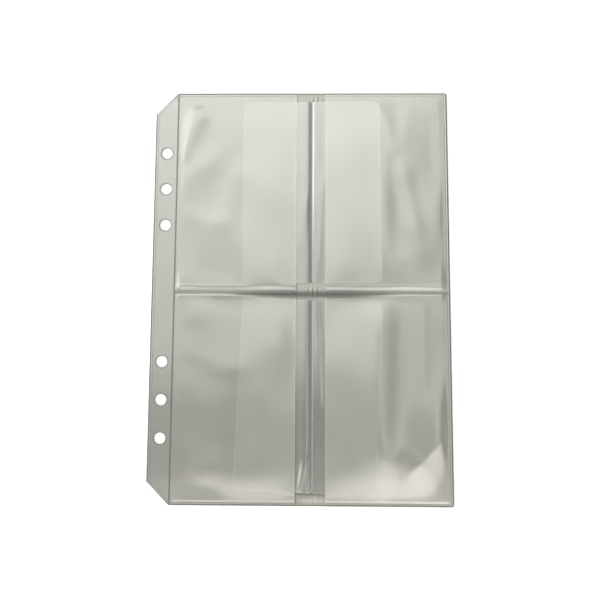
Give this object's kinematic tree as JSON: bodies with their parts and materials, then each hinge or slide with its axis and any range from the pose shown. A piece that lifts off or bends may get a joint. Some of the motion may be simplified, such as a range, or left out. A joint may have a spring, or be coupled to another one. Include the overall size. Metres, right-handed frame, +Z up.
{
  "type": "binder pocket",
  "caption": "Clear flat page for a ring binder with a punched strip, pockets opening towards a centre weld and a tuck-in flap at each mouth.",
  "frame": {"origin": "centre of the page's outline, on the surface that it lies on", "axes": "+X away from the ring holes, +Y to the page's top, +Z up through its thickness"},
  "size_m": [0.1516, 0.2106, 0.001],
  "materials": {
    "back_film": "clear grey vinyl film, softly glossy",
    "front_film": "clear vinyl film, softly glossy",
    "flap_film": "clear vinyl film, faintly milky",
    "weld": "heat-sealed vinyl, pressed line"
  },
  "bodies": {
    "binding_strip": {"strip_back_film": "back_film", "strip_front_film": "front_film", "binding_weld": "weld"},
    "page": {"page_back_film": "back_film", "seam_upper_left": "weld", "front_film_upper_left": "front_film", "seam_upper_right": "weld", "front_film_upper_right": "front_film", "seam_lower_left": "weld", "front_film_lower_left": "front_film", "seam_lower_right": "weld", "front_film_lower_right": "front_film", "flap_weld_upper": "weld", "flap_weld_lower": "weld"},
    "flap_upper_left": {"flap_upper_left": "flap_film"},
    "flap_upper_right": {"flap_upper_right": "flap_film"},
    "flap_lower_left": {"flap_lower_left": "flap_film"},
    "flap_lower_right": {"flap_lower_right": "flap_film"}
  },
  "joints": [
    {"name": "binding_fold", "type": "hinge", "parent": "binding_strip", "child": "page", "pos_m": [-0.06425, 0, 0.0002], "axis": [0, -1, 0], "range_deg": [-140, 140]},
    {"name": "flap_upper_left_fold", "type": "hinge", "parent": "page", "child": "flap_upper_left", "pos_m": [0.005, 0.0529, 0.0004], "axis": [0, 1, 0], "range_deg": [0, 90]},
    {"name": "flap_upper_right_fold", "type": "hinge", "parent": "page", "child": "flap_upper_right", "pos_m": [0.0069, 0.0529, 0.0004], "axis": [0, -1, 0], "range_deg": [0, 90]},
    {"name": "flap_lower_left_fold", "type": "hinge", "parent": "page", "child": "flap_lower_left", "pos_m": [0.005, -0.0514, 0.0004], "axis": [0, 1, 0], "range_deg": [0, 90]},
    {"name": "flap_lower_right_fold", "type": "hinge", "parent": "page", "child": "flap_lower_right", "pos_m": [0.0069, -0.0514, 0.0004], "axis": [0, -1, 0], "range_deg": [0, 90]}
  ]
}
